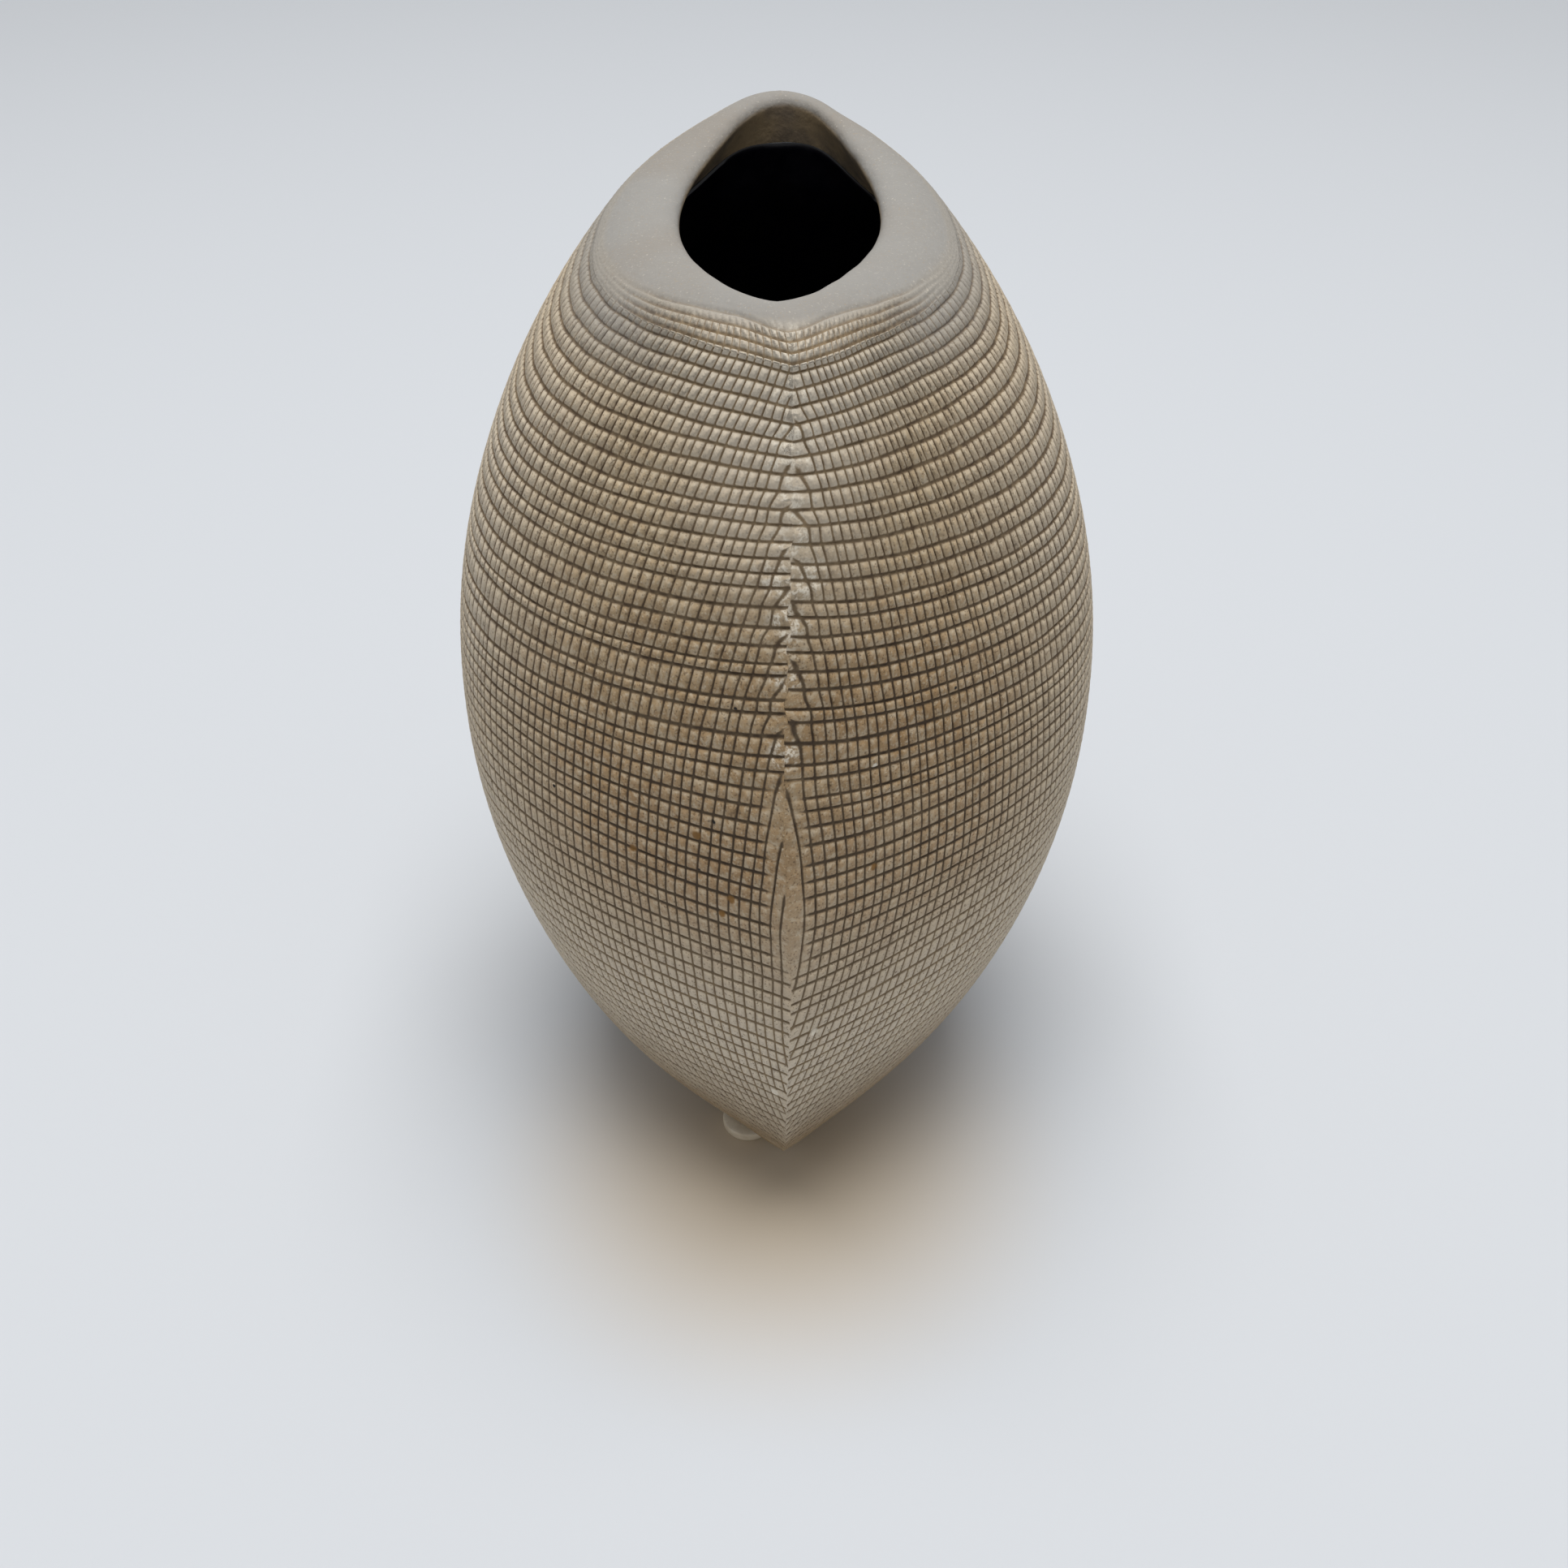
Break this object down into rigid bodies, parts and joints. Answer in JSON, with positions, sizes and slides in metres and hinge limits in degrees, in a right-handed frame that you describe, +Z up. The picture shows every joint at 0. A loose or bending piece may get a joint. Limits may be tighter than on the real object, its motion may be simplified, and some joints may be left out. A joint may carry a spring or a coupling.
{
  "type": "lens vase",
  "caption": "Stoneware vase of flattened lens form: two convex shells joined along a ridge, incised grid outside, smooth rounded diamond lip, dark glazed hollow, small rubber feet.",
  "frame": {"origin": "on the ground under the middle of the vase, where the bumpers' undersides lie", "axes": "+Z up, +Y along the lens from the near ridge to the far ridge, +X through its thickness to the right shell"},
  "size_m": [0.12, 0.142, 0.19],
  "materials": {
    "incised_clay": "unglazed tan stoneware with brown in the incised lines, dry and matte",
    "lip_clay": "smoothed grey-beige stoneware, matte",
    "inner_glaze": "near-black glaze, glossy",
    "bumper_rubber": "clear greyish polyurethane, slightly milky"
  },
  "bodies": {
    "root": {"right_shell": "incised_clay", "left_shell": "incised_clay", "mouth_collar": "lip_clay", "base_slab": "incised_clay", "inner_glaze": "inner_glaze", "bumper_front": "bumper_rubber", "bumper_rear": "bumper_rubber", "bumper_left": "bumper_rubber", "bumper_right": "bumper_rubber"}
  },
  "joints": []
}
